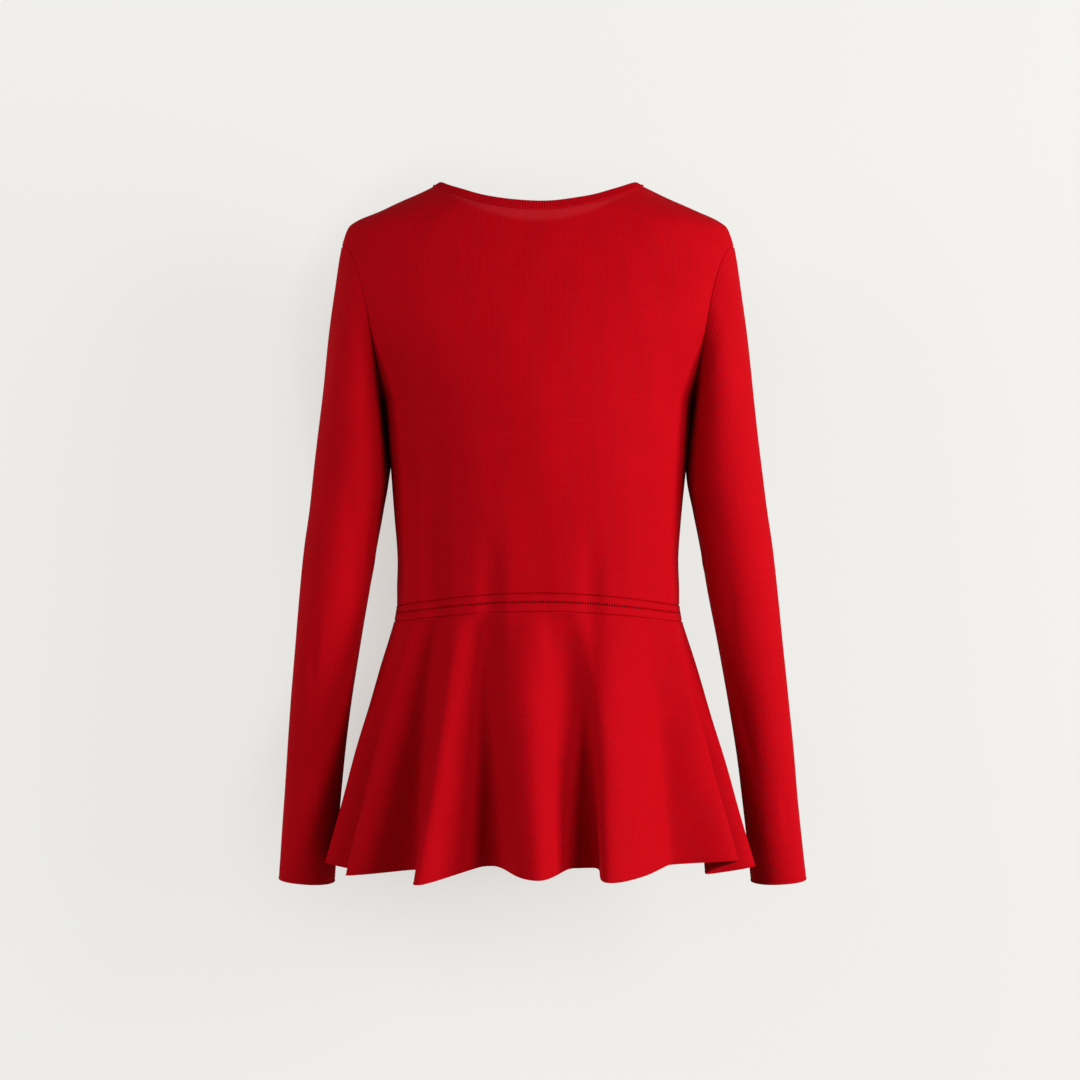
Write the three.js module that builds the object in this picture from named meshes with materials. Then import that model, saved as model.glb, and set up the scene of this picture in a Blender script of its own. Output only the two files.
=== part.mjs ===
// A women's fine-knit top with long sleeves, a ribbed neckband, a waistband and a fluted peplum.
// It keeps the hollow form it has when it is worn, with nobody inside it.
//
// Millimetres, +Z up, +X to the wearer's right, +Y to the wearer's front.
// The origin is midway between the two neck points, at the height where the shoulders carry the garment.
//
// Each piece is one cloth wall. Its outer face is a grid of points, with rows going up and columns going
// counter-clockwise seen from above. The inner face is that grid moved in by the cloth's thickness, and
// rims close the wall along its edges.
import * as THREE from "three";

// Cloth and seams
const CLOTH = 1.8;
const RIB_CLOTH = 2.4;
const SEAM_GAP = 0.3;
const SAME_PLACE = 0.01;

// The waistband's two rings
const BAND_TOP = { halfWidth: 130, backDepth: 78, frontDepth: 92, sideZ: -389, backRise: 14, frontRise: -3 };
const BAND_BOTTOM = {
  halfWidth: 132.5,
  backDepth: 81,
  frontDepth: 95,
  sideZ: -403.4,
  backRise: 12.3,
  frontRise: -5,
};

// Neck: the seam ring and the free edge of the band above it
const NECK_SEAM = { halfWidth: 97, sideZ: -5, backRise: -23.6, frontRise: -90 };
const NECK_EDGE = {
  halfWidth: 88.6,
  backDepth: 57,
  frontDepth: 77,
  sideZ: -0.3,
  backRise: -19.9,
  frontRise: -85.2,
};

// The body's level sections, from the waist up over the armpits (-200) and sleeve tops (-60) to the neck
const BODY_SECTIONS = [
  { z: -392, halfWidth: 130, backDepth: 78, frontDepth: 92 },
  { z: -374, halfWidth: 130, backDepth: 78, frontDepth: 92 },
  { z: -350, halfWidth: 129, backDepth: 79.5, frontDepth: 95 },
  { z: -311, halfWidth: 131.3, backDepth: 82.5, frontDepth: 101 },
  { z: -275, halfWidth: 134.4, backDepth: 86.5, frontDepth: 108 },
  { z: -240, halfWidth: 138, backDepth: 90.5, frontDepth: 114 },
  { z: -215, halfWidth: 140.2, backDepth: 92.5, frontDepth: 116 },
  { z: -200, halfWidth: 141.5, backDepth: 93.3, frontDepth: 115 },
  { z: -187, halfWidth: 147.5, backDepth: 94, frontDepth: 113 },
  { z: -171, halfWidth: 154.5, backDepth: 94.3, frontDepth: 109.5 },
  { z: -152, halfWidth: 165, backDepth: 94.2, frontDepth: 104 },
  { z: -130, halfWidth: 175.5, backDepth: 93, frontDepth: 97 },
  { z: -105, halfWidth: 182, backDepth: 89, frontDepth: 85.5 },
  { z: -80, halfWidth: 182.5, backDepth: 82, frontDepth: 75 },
  { z: -60, halfWidth: 180, backDepth: 75.5, frontDepth: 66.5 },
  { z: -50, halfWidth: 177, backDepth: 71.5, frontDepth: 61.4 },
  { z: -42.5, halfWidth: 173.5, backDepth: 68, frontDepth: 57.8 },
  { z: -36.5, halfWidth: 165.5, backDepth: 65.3, frontDepth: 54.3 },
  { z: -25.5, halfWidth: 142, backDepth: 60.2, frontDepth: 48 },
  { z: -15, halfWidth: 118, backDepth: 52.1, frontDepth: 42 },
  { z: -5, halfWidth: 97, backDepth: 45, frontDepth: 36 },
];

// Height of the shoulder seam, from the top of the sleeve (along 0) to the neck point (along 1)
const SHOULDER_SEAM = [
  { along: 0, z: -60 },
  { along: 0.17, z: -43.5 },
  { along: 0.33, z: -34 },
  { along: 0.5, z: -26.5 },
  { along: 0.67, z: -19.2 },
  { along: 0.83, z: -12.1 },
  { along: 1, z: -5 },
];

// Armhole, drawn on the body between the armpit and the top of the sleeve
const ARMHOLE = { topZ: -60, bottomZ: -200, widthPower: 1.8, frontScoop: 6 };
// How far the armholes' shape is felt towards the centre: a power of the share of the width
const ARMHOLE_REACH = 3;
// How much lower the level of the armpits runs at the centre back and the centre front
const CHEST_LINE_DIP = { back: 5, front: 15 };

// Soft upright troughs in the back, from the waistband up to topZ
const BACK_TROUGHS = [
  { x: -93, halfWidth: 20, depth: 5, topZ: -200 },
  { x: -42, halfWidth: 17, depth: 2.5, topZ: -300 },
  { x: 49, halfWidth: 17, depth: 3, topZ: -300 },
  { x: -124, halfWidth: 12, depth: 2, topZ: -310 },
];
const TROUGH_FULL_Z = -380;
const TROUGH_END_IN_PEPLUM = 0.4;

// Sleeve sections down the arm: outer and inner ends, half-depth, and the middle's place in Y
const SLEEVE_SECTIONS = [
  { outerX: 183, outerZ: -75, innerX: 141.9, innerZ: -208, halfDepth: 51.5, midY: 3, armholeShape: 0.6 },
  { outerX: 187.2, outerZ: -104, innerX: 141.4, innerZ: -219, halfDepth: 52, midY: 2, armholeShape: 0.25 },
  { outerX: 192, outerZ: -140, innerX: 140.8, innerZ: -232, halfDepth: 51, midY: 1, armholeShape: 0.08 },
  { outerX: 198.5, outerZ: -200, innerX: 140.2, innerZ: -250, halfDepth: 49.5, midY: 0, armholeShape: 0 },
  { outerX: 205, outerZ: -256, innerX: 140.4, innerZ: -272, halfDepth: 47, midY: 0, armholeShape: 0 },
  { outerX: 210, outerZ: -300, innerX: 143.5, innerZ: -302, halfDepth: 44.5, midY: 0, armholeShape: 0 },
  { outerX: 215, outerZ: -335, innerX: 149.5, innerZ: -335, halfDepth: 42, midY: 0, armholeShape: 0 },
  { outerX: 219.5, outerZ: -375, innerX: 155.8, innerZ: -372, halfDepth: 39.5, midY: 0, armholeShape: 0 },
  { outerX: 223.8, outerZ: -415, innerX: 162.2, innerZ: -411, halfDepth: 37, midY: 0.5, armholeShape: 0 },
  { outerX: 227.8, outerZ: -455, innerX: 168.8, innerZ: -450, halfDepth: 35, midY: 2, armholeShape: 0 },
  { outerX: 231.4, outerZ: -495, innerX: 175.2, innerZ: -490, halfDepth: 33, midY: 6, armholeShape: 0 },
  { outerX: 234.9, outerZ: -535, innerX: 181, innerZ: -530, halfDepth: 31.5, midY: 11, armholeShape: 0 },
  { outerX: 238.3, outerZ: -575, innerX: 186, innerZ: -571, halfDepth: 30, midY: 17, armholeShape: 0 },
  { outerX: 242.2, outerZ: -613, innerX: 190.2, innerZ: -612, halfDepth: 28.7, midY: 24, armholeShape: 0 },
  { outerX: 245.8, outerZ: -644, innerX: 193.3, innerZ: -647, halfDepth: 28, midY: 29.5, armholeShape: 0 },
];
const CUFF_TILT = THREE.MathUtils.degToRad(4);
const TILT_FROM_Z = -400;

// The arms hang a little to the wearer's right, more so towards the cuffs
const SWAY = { shift: 4.5, fromZ: -230, atZ: -645 };

// Hem of the peplum between its flutes, and the height that it hangs to, round from the centre back
const HEM_BASE = { halfWidth: 160, backDepth: 112, frontDepth: 126 };
const HEM_LEVELS = [
  { degrees: -87, z: -625 },
  { degrees: -73, z: -633 },
  { degrees: -61, z: -627 },
  { degrees: -41, z: -625.5 },
  { degrees: -15, z: -619.5 },
  { degrees: 15, z: -619.8 },
  { degrees: 50, z: -621.5 },
  { degrees: 63, z: -619 },
  { degrees: 75, z: -634 },
  { degrees: 86, z: -627 },
  { degrees: 100, z: -632 },
  { degrees: 180, z: -634 },
  { degrees: 259, z: -632 },
];
const EARLY_FLARE = 0.15;

// The flutes, by their angle round from the centre back (0) over the wearer's right side (90).
// A flute starts and ends at from and to, is deepest at crest, and its crest meets the waist at waistCrest.
// lean moves the crest along the hem, and drop lowers it.
const FLUTES = [
  { from: -73, crest: -61, to: -41, waistCrest: -61, depth: 33, lean: -12, drop: 4 },
  { from: -41, crest: -25, to: -16, waistCrest: -24, depth: 42, lean: -26, drop: 11 },
  { from: -13, crest: 0, to: 11.5, waistCrest: 3, depth: 35, lean: 0, drop: 7 },
  { from: 18, crest: 33, to: 50, waistCrest: 35, depth: 38, lean: -42, drop: 8 },
  { from: 50, crest: 63, to: 74, waistCrest: 66, depth: 34, lean: 22, drop: 0 },
  { from: 74, crest: 86, to: 100, waistCrest: 88, depth: 40, lean: -4, drop: 1 },
  { from: 100, crest: 117, to: 134, waistCrest: 117, depth: 38, lean: 6, drop: 3 },
  { from: 134, crest: 150, to: 165, waistCrest: 150, depth: 40, lean: -8, drop: 5 },
  { from: 165, crest: 181, to: 197, waistCrest: 181, depth: 36, lean: 4, drop: 5 },
  { from: 197, crest: 212, to: 227, waistCrest: 212, depth: 42, lean: 9, drop: 5 },
  { from: 227, crest: 243, to: 259, waistCrest: 243, depth: 37, lean: -5, drop: 3 },
  { from: 259, crest: 273, to: 287, waistCrest: 272, depth: 36, lean: 4, drop: 0 },
];

// Grid sizes
const PANEL_COLUMNS = 30;
const NECK_COLUMNS = 18;
const SIDE_ROWS = 7;
const ARMHOLE_ROWS = 12;
const BAND_ROWS = 2;
const PEPLUM_ROWS = 8;
const PEPLUM_BACK_COLUMNS = 56;
const PEPLUM_FRONT_COLUMNS = 46;
const HEM_SAMPLES = 720;

const { lerp, clamp, smoothstep, degToRad } = THREE.MathUtils;
const square = (value) => value * value;
const steps = (count) => Array.from({ length: count + 1 }, (_, i) => i / count);

// A smooth curve of one column of a table against another. It never overshoots its rows.
function curve(table, key, value) {
  const rows = [...table].sort((a, b) => a[key] - b[key]);
  const last = rows.length - 1;
  const slopes = rows.slice(1).map((row, i) => (row[value] - rows[i][value]) / (row[key] - rows[i][key]));
  const tangents = rows.map((_, i) => {
    const before = slopes[Math.max(i - 1, 0)];
    const after = slopes[Math.min(i, last - 1)];
    return before * after <= 0 ? 0 : (2 * before * after) / (before + after);
  });
  return (at) => {
    const x = clamp(at, rows[0][key], rows[last][key]);
    const i = clamp(rows.findIndex((row) => row[key] > x) - 1, 0, last - 1);
    const start = x >= rows[last][key] ? last - 1 : i;
    const span = rows[start + 1][key] - rows[start][key];
    const t = (x - rows[start][key]) / span;
    const rise = t * t * (3 - 2 * t);
    return (
      lerp(rows[start][value], rows[start + 1][value], rise) +
      span * t * (1 - t) * ((1 - t) * tangents[start] - t * tangents[start + 1])
    );
  };
}

const bodyHalfWidth = curve(BODY_SECTIONS, "z", "halfWidth");
const shoulderZ = curve(SHOULDER_SEAM, "along", "z");
const hemLevel = curve(
  [-360, 0, 360].flatMap((turn) => HEM_LEVELS.map(({ degrees, z }) => ({ degrees: degrees + turn, z }))),
  "degrees",
  "z",
);
const FACES = {
  back: {
    side: -1,
    depthAt: curve(BODY_SECTIONS, "z", "backDepth"),
    waistRise: BAND_TOP.backRise,
    chestDip: CHEST_LINE_DIP.back,
    neckRise: NECK_SEAM.backRise,
    scoop: 0,
  },
  front: {
    side: 1,
    depthAt: curve(BODY_SECTIONS, "z", "frontDepth"),
    waistRise: BAND_TOP.frontRise,
    chestDip: CHEST_LINE_DIP.front,
    neckRise: NECK_SEAM.frontRise,
    scoop: ARMHOLE.frontScoop,
  },
};

// A ring's depth at the back or at the front. Angles go from the centre back round by the wearer's right.
const depthTowards = (ring, angle) => (Math.cos(angle) > 0 ? ring.backDepth : ring.frontDepth);

// A point of an oval ring.
function ringPoint(ring, angle) {
  const rise = Math.cos(angle) > 0 ? ring.backRise : ring.frontRise;
  return new THREE.Vector3(
    ring.halfWidth * Math.sin(angle),
    -depthTowards(ring, angle) * Math.cos(angle),
    ring.sideZ + rise * square(Math.cos(angle)),
  );
}

// The ring part of the way from one ring to another.
function ringBetween(lower, upper, share) {
  const mixed = Object.keys(lower).map((key) => [key, lerp(lower[key], upper[key], share)]);
  return Object.fromEntries(mixed);
}

// How deep the soft troughs of the back are at a place.
function troughDepth(x, y, z) {
  if (y > 0) return 0;
  return BACK_TROUGHS.reduce((sum, trough) => {
    const across = clamp(Math.abs(x - trough.x) / trough.halfWidth, 0, 1);
    const up = 1 - smoothstep(z, TROUGH_FULL_Z, trough.topZ);
    return sum + trough.depth * up * 0.5 * (1 + Math.cos(Math.PI * across));
  }, 0);
}

// Moves a point of an oval section straight in by a distance.
function pressIn(point, halfWidth, depth, distance) {
  const out = new THREE.Vector3(point.x / square(halfWidth), point.y / square(depth), 0).normalize();
  return point.addScaledVector(out, -distance);
}

// A point on the body, from where it lies in the front view.
function onBody(face, x, z) {
  const halfWidth = bodyHalfWidth(z);
  const depth = face.depthAt(z);
  const y = face.side * depth * Math.sqrt(Math.max(0, 1 - square(x / halfWidth)));
  return pressIn(new THREE.Vector3(x, y, z), halfWidth, depth, troughDepth(x, y, z));
}

// Levels of the waist seam and of the armpits, across a panel.
const waistZ = (face, turn) => BAND_TOP.sideZ + face.waistRise * square(Math.cos(turn));
const chestZ = (face, turn) => ARMHOLE.bottomZ - face.chestDip * square(Math.cos(turn));

// The upper edge of a panel in the front view: a shoulder seam, the neck seam, the other shoulder seam.
// across runs from 0 at the centre to 1 at the sleeve.
const NECK_SHARE = NECK_COLUMNS / PANEL_COLUMNS;
function upperEdge(face, across) {
  if (across > NECK_SHARE) {
    const z = shoulderZ((1 - across) / (1 - NECK_SHARE));
    return { x: bodyHalfWidth(z), z };
  }
  const turn = (across / NECK_SHARE) * (Math.PI / 2);
  return {
    x: NECK_SEAM.halfWidth * Math.sin(turn),
    z: NECK_SEAM.sideZ + face.neckRise * square(Math.cos(turn)),
  };
}

// A point of a panel below the armpits. across runs from -1 to 1, up from 0 to 1.
function sidePoint(face, across, up) {
  const turn = (across * Math.PI) / 2;
  const z = lerp(waistZ(face, turn), chestZ(face, turn), up);
  return onBody(face, -face.side * bodyHalfWidth(z) * Math.sin(turn), z);
}

// A point of a panel above the armpits. across runs from -1 to 1, up from 0 to 1.
function upperPoint(face, across, up) {
  const turn = (across * Math.PI) / 2;
  const rise = square(Math.sin((up * Math.PI) / 2));
  const level = chestZ(face, turn);
  const upper = upperEdge(face, Math.abs(across));
  const armpitX = bodyHalfWidth(ARMHOLE.bottomZ);
  const sleeveTopX = bodyHalfWidth(ARMHOLE.topZ);
  const armholeX =
    armpitX + (sleeveTopX - armpitX) * Math.pow(up, ARMHOLE.widthPower) - face.scoop * Math.sin(Math.PI * up);
  const scoop = armholeX - lerp(armpitX, sleeveTopX, rise);
  const halfX =
    lerp(Math.abs(bodyHalfWidth(level) * Math.sin(turn)), upper.x, rise) +
    scoop * Math.pow(Math.abs(across), ARMHOLE_REACH);
  return onBody(face, -face.side * Math.sign(across) * halfX, lerp(level, upper.z, rise));
}

function panelGrid(face) {
  const across = steps(PANEL_COLUMNS).map((share) => 2 * share - 1);
  const side = steps(SIDE_ROWS).map((up) => across.map((a) => sidePoint(face, a, up)));
  const upper = steps(ARMHOLE_ROWS).slice(1).map((up) => across.map((a) => upperPoint(face, a, up)));
  return [...side, ...upper];
}

// The angles of the panels' columns, once round the body.
function bandAngles() {
  return steps(2 * PANEL_COLUMNS)
    .slice(0, -1)
    .map((share) => 2 * Math.PI * share - Math.PI / 2);
}

function waistPoint(angle, share) {
  const ring = ringBetween(BAND_BOTTOM, BAND_TOP, share);
  const point = ringPoint(ring, angle);
  return pressIn(point, ring.halfWidth, depthTowards(ring, angle), troughDepth(point.x, point.y, point.z));
}

function waistbandGrid() {
  return steps(BAND_ROWS).map((share) => bandAngles().map((angle) => waistPoint(angle, share)));
}

// The neckband rises from the panels' neck seam to its own free edge.
function neckbandGrid() {
  const share = (column) => (2 * column) / NECK_COLUMNS - 1;
  const columns = Array.from({ length: NECK_COLUMNS }, (_, column) => share(column));
  const seam = [FACES.back, FACES.front].flatMap((face) =>
    columns.map((across) => upperPoint(face, across * NECK_SHARE, 1)),
  );
  const edge = seam.map((_, i) => ringPoint(NECK_EDGE, (Math.PI * i) / NECK_COLUMNS - Math.PI / 2));
  return steps(BAND_ROWS).map((up) => seam.map((point, i) => point.clone().lerp(edge[i], up)));
}

// The loop of the wearer's right armhole, from the top of the sleeve over the front to the armpit and back.
function armholeLoop() {
  const heights = steps(ARMHOLE_ROWS);
  const front = heights.toReversed().map((up) => upperPoint(FACES.front, -1, up));
  const back = heights.slice(1, -1).map((up) => upperPoint(FACES.back, 1, up));
  return [...front, ...back];
}

// The ellipse that the armhole is compared with, so that the sleeve can run out of its true shape.
const ARMHOLE_OVAL = {
  outerX: bodyHalfWidth(ARMHOLE.topZ),
  outerZ: ARMHOLE.topZ,
  innerX: bodyHalfWidth(ARMHOLE.bottomZ),
  innerZ: ARMHOLE.bottomZ,
  halfDepth: 50,
  midY: 3,
};

function sleeveOvalPoint(section, angle) {
  const midX = (section.outerX + section.innerX) / 2;
  const midZ = (section.outerZ + section.innerZ) / 2;
  const tilt = CUFF_TILT * smoothstep(-midZ, -TILT_FROM_Z, -SWAY.atZ);
  const across = Math.cos(angle) / 2;
  const forward = section.halfDepth * Math.sin(angle);
  return new THREE.Vector3(
    midX + (section.outerX - section.innerX) * across,
    section.midY + forward * Math.cos(tilt),
    midZ + (section.outerZ - section.innerZ) * across + forward * Math.sin(tilt),
  );
}

// The wearer's right sleeve, from the cuff up to the armhole, before the arms' sway.
function plainSleeveGrid() {
  const loop = armholeLoop();
  const angles = loop.map((_, i) => (2 * Math.PI * i) / loop.length);
  const own = loop.map((point, i) => point.clone().sub(sleeveOvalPoint(ARMHOLE_OVAL, angles[i])));
  const sections = SLEEVE_SECTIONS.map((section) =>
    angles.map((angle, i) => sleeveOvalPoint(section, angle).addScaledVector(own[i], section.armholeShape)),
  );
  return [...sections.toReversed(), loop];
}

function sway(point) {
  const share = (point.z - SWAY.fromZ) / (SWAY.atZ - SWAY.fromZ);
  return point.setX(point.x + SWAY.shift * square(Math.max(share, 0)));
}

function sleeveGrid(side) {
  const grid = plainSleeveGrid();
  const armhole = grid.length - 1;
  return grid.map((row, r) => {
    const placed = row.map((point) => new THREE.Vector3(side * point.x, point.y, point.z));
    const moved = r === armhole ? placed : placed.map(sway);
    return side > 0 ? moved : [moved[0], ...moved.slice(1).toReversed()];
  });
}

// How far a flute stands out at an angle in degrees: 0 at its feet, 1 at its crest.
function fluteShare(flute, degrees) {
  const turned = degrees - 360 * Math.floor((degrees - flute.from) / 360);
  if (turned >= flute.to) return 0;
  const climb =
    turned < flute.crest
      ? (turned - flute.from) / (flute.crest - flute.from)
      : (flute.to - turned) / (flute.to - flute.crest);
  return 0.5 * (1 - Math.cos(Math.PI * climb));
}

// The angle at the waist that a line of the cloth comes from, by its angle at the hem.
const FLUTES_ROUND = [-360, 0, 360].flatMap((turn) =>
  FLUTES.map((flute) => ({ crest: flute.crest + turn, waistCrest: flute.waistCrest + turn })),
);
const waistDegrees = curve(FLUTES_ROUND, "crest", "waistCrest");

// A point of the peplum. share runs from 0 at the hem to 1 at the waistband.
function peplumPoint(degrees, share) {
  const down = 1 - share;
  const angle = degToRad(degrees);
  const depth = depthTowards(HEM_BASE, angle);
  const across = HEM_BASE.halfWidth * Math.sin(angle);
  const hem = new THREE.Vector3(across, -depth * Math.cos(angle), hemLevel(degrees));
  const turned = [HEM_BASE.halfWidth * Math.cos(angle), depth * Math.sin(angle)];
  const along = new THREE.Vector3(...turned, 0).normalize();
  const out = new THREE.Vector3(along.y, -along.x, 0);

  const waistAngle = degToRad(waistDegrees(degrees));
  const ring = ringPoint(BAND_BOTTOM, waistAngle);
  const trough = troughDepth(ring.x, ring.y, ring.z) * (1 - smoothstep(down, 0, TROUGH_END_IN_PEPLUM));
  const waist = pressIn(ring, BAND_BOTTOM.halfWidth, depthTowards(BAND_BOTTOM, waistAngle), trough);

  const flare = down * (1 + EARLY_FLARE * share);
  const point = new THREE.Vector3(
    lerp(waist.x, hem.x, flare),
    lerp(waist.y, hem.y, flare),
    lerp(waist.z, hem.z, down),
  );
  for (const flute of FLUTES) {
    const standing = fluteShare(flute, degrees) * down;
    point.addScaledVector(out, flute.depth * standing);
    point.addScaledVector(along, flute.lean * standing);
    point.z -= flute.drop * standing;
  }
  return point;
}

// Angles from one side seam to the other that share out the length of the hem evenly.
function evenHemDegrees(fromDegrees, columns) {
  const dense = steps(HEM_SAMPLES).map((share) => fromDegrees + 180 * share);
  const lengths = [0];
  for (let i = 1; i < dense.length; i += 1) {
    const step = peplumPoint(dense[i], 0).distanceTo(peplumPoint(dense[i - 1], 0));
    lengths.push(lengths[i - 1] + step);
  }
  const total = lengths.at(-1);
  return steps(columns).map((share) => {
    const wanted = share * total;
    const next = clamp(lengths.findIndex((length) => length >= wanted), 1, HEM_SAMPLES);
    const part = (wanted - lengths[next - 1]) / (lengths[next] - lengths[next - 1]);
    return lerp(dense[next - 1], dense[next], part);
  });
}

function peplumGrid(fromDegrees, columns) {
  const degrees = evenHemDegrees(fromDegrees, columns);
  return steps(PEPLUM_ROWS).map((share) => degrees.map((at) => peplumPoint(at, share)));
}

// Direction across a grid at one point, by central differences.
function gridStep(grid, closed, r, c, dr, dc) {
  const columns = grid[0].length;
  const at = (row, column) => {
    const wrapped = closed ? (column + columns) % columns : clamp(column, 0, columns - 1);
    return grid[clamp(row, 0, grid.length - 1)][wrapped];
  };
  return at(r + dr, c + dc).clone().sub(at(r - dr, c - dc));
}

function gridNormals(grid, closed) {
  return grid.map((row, r) =>
    row.map((_, c) => {
      const across = gridStep(grid, closed, r, c, 0, 1);
      const up = gridStep(grid, closed, r, c, 1, 0);
      return across.cross(up).normalize();
    }),
  );
}

// Where pieces meet and face much the same way, they share one direction for their thickness, so that
// their walls end flush. In the crease under the arm they face apart, and each keeps its own.
function shareNormals(pieces) {
  const meeting = new Map();
  const keyOf = (point) => point.toArray().map((value) => Math.round(value / SAME_PLACE)).join(" ");
  pieces.forEach((piece) => {
    piece.normals = gridNormals(piece.grid, piece.closed);
    piece.grid.forEach((row, r) =>
      row.forEach((point, c) => {
        const key = keyOf(point);
        if (!meeting.has(key)) meeting.set(key, []);
        meeting.get(key).push(piece.normals[r][c].clone());
      }),
    );
  });
  pieces.forEach((piece) => {
    piece.normals = piece.grid.map((row, r) =>
      row.map((point, c) => {
        const own = piece.normals[r][c];
        const alike = meeting.get(keyOf(point)).filter((other) => other.dot(own) > 0);
        return alike.reduce((sum, other) => sum.add(other), new THREE.Vector3()).normalize();
      }),
    );
  });
}

// Draws the named edges of a grid back along the cloth by half of the seam's gap.
function trimSeams(grid, edges) {
  const rows = grid.length - 1;
  const columns = grid[0].length - 1;
  const inward = {
    bottom: (r) => (r === 0 ? [1, 0] : null),
    top: (r) => (r === rows ? [-1, 0] : null),
    first: (r, c) => (c === 0 ? [0, 1] : null),
    last: (r, c) => (c === columns ? [0, -1] : null),
  };
  return grid.map((row, r) =>
    row.map((point, c) => {
      const moved = point.clone();
      edges.forEach((edge) => {
        const step = inward[edge](r, c);
        if (!step) return;
        const along = grid[r + step[0]][c + step[1]].clone().sub(point).normalize();
        moved.addScaledVector(along, SEAM_GAP / 2);
      });
      return moved;
    }),
  );
}

// A closed wall: outer face, inner face and rims.
function wallGeometry({ grid, normals, closed, thickness, seams, shift }) {
  const inner = grid.map((row, r) =>
    row.map((point, c) => point.clone().addScaledVector(normals[r][c], -thickness)),
  );
  const faces = [trimSeams(grid, seams), trimSeams(inner, seams)];
  if (shift) faces.forEach((face) => face.at(-1).forEach((point) => point.add(shift)));
  const rows = grid.length;
  const columns = grid[0].length;
  const positions = faces.flat(2).flatMap((point) => point.toArray());
  const at = (face, r, c) => (face * rows + r) * columns + (c % columns);
  const triangles = [];
  const quad = (a, b, c, d) => triangles.push(a, b, c, a, c, d);
  const lastColumn = closed ? columns : columns - 1;
  for (let c = 0; c < lastColumn; c += 1) {
    for (let r = 0; r < rows - 1; r += 1) {
      quad(at(0, r, c), at(0, r, c + 1), at(0, r + 1, c + 1), at(0, r + 1, c));
      quad(at(1, r, c), at(1, r + 1, c), at(1, r + 1, c + 1), at(1, r, c + 1));
    }
    quad(at(1, 0, c + 1), at(0, 0, c + 1), at(0, 0, c), at(1, 0, c));
    quad(at(0, rows - 1, c), at(0, rows - 1, c + 1), at(1, rows - 1, c + 1), at(1, rows - 1, c));
  }
  if (!closed) {
    const last = columns - 1;
    for (let r = 0; r < rows - 1; r += 1) {
      quad(at(0, r, 0), at(0, r + 1, 0), at(1, r + 1, 0), at(1, r, 0));
      quad(at(0, r, last), at(1, r, last), at(1, r + 1, last), at(0, r + 1, last));
    }
  }
  const geometry = new THREE.BufferGeometry();
  geometry.setAttribute("position", new THREE.Float32BufferAttribute(positions, 3));
  geometry.setIndex(triangles);
  geometry.computeVertexNormals();
  return geometry;
}

const knit = new THREE.MeshStandardMaterial({ name: "knit", color: 0xbe0514, roughness: 0.85, metalness: 0 });
const rib = new THREE.MeshStandardMaterial({ name: "rib", color: 0xb40412, roughness: 0.9, metalness: 0 });

// The sleeve stands off the armhole, square to the loop, by the seam's gap.
function offArmhole(side) {
  const height = ARMHOLE_OVAL.outerZ - ARMHOLE_OVAL.innerZ;
  const width = ARMHOLE_OVAL.outerX - ARMHOLE_OVAL.innerX;
  return new THREE.Vector3(side * height, 0, -width).setLength(SEAM_GAP);
}

const PANEL_SEAMS = ["bottom", "top", "first", "last"];
const PEPLUM_SEAMS = ["top", "first", "last"];
const peplumBack = peplumGrid(-90, PEPLUM_BACK_COLUMNS);
const peplumFront = peplumGrid(90, PEPLUM_FRONT_COLUMNS);
const NECKBAND_LOOK = { thickness: RIB_CLOTH, material: rib };
const pieces = [
  { name: "bodice_back", grid: panelGrid(FACES.back), closed: false, seams: PANEL_SEAMS },
  { name: "bodice_front", grid: panelGrid(FACES.front), closed: false, seams: PANEL_SEAMS },
  { name: "sleeve_right", grid: sleeveGrid(1), closed: true, seams: [], shift: offArmhole(1) },
  { name: "sleeve_left", grid: sleeveGrid(-1), closed: true, seams: [], shift: offArmhole(-1) },
  { name: "neckband", grid: neckbandGrid(), closed: true, seams: ["bottom"], ...NECKBAND_LOOK },
  { name: "waistband", grid: waistbandGrid(), closed: true, seams: ["bottom", "top"] },
  { name: "peplum_back", grid: peplumBack, closed: false, seams: PEPLUM_SEAMS },
  { name: "peplum_front", grid: peplumFront, closed: false, seams: PEPLUM_SEAMS },
];
shareNormals(pieces);

const garment = new THREE.Group();
garment.name = "peplum_sweater";
for (const piece of pieces) {
  const geometry = wallGeometry({ thickness: CLOTH, ...piece });
  const mesh = new THREE.Mesh(geometry, piece.material ?? knit);
  mesh.name = piece.name;
  garment.add(mesh);
}

export default garment;
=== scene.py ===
# %% [markdown]
# # A long-sleeved peplum sweater in fine red knit
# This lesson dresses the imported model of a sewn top: two bodice panels, two sleeves, a ribbed
# neckband, a waistband with a row of eyelets, and a fluted peplum. Nobody wears it, but it keeps
# the hollow form that it has when it is worn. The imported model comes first, because every
# cloth piece has to stay in the place of the solid that it stands for.
#
# Lengths in the tables are millimetres. +X is the wearer's right, +Y the front, +Z up.

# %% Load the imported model
import math

import bmesh
import bpy
import numpy as np
from mathutils.kdtree import KDTree
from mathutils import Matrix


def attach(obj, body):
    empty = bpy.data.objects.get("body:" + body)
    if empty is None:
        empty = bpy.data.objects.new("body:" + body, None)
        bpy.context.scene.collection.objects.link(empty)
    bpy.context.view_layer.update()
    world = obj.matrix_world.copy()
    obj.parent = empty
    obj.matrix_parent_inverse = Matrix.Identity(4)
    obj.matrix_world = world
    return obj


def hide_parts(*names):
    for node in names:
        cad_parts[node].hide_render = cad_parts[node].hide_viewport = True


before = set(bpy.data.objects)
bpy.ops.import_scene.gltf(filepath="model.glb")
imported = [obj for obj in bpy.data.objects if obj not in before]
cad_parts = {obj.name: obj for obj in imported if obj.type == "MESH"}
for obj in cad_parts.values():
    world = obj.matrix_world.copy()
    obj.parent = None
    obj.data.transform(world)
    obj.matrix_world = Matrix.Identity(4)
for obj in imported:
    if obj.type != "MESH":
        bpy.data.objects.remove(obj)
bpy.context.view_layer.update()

MM = 0.001
bpy.ops.object.select_all(action="DESELECT")
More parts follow.
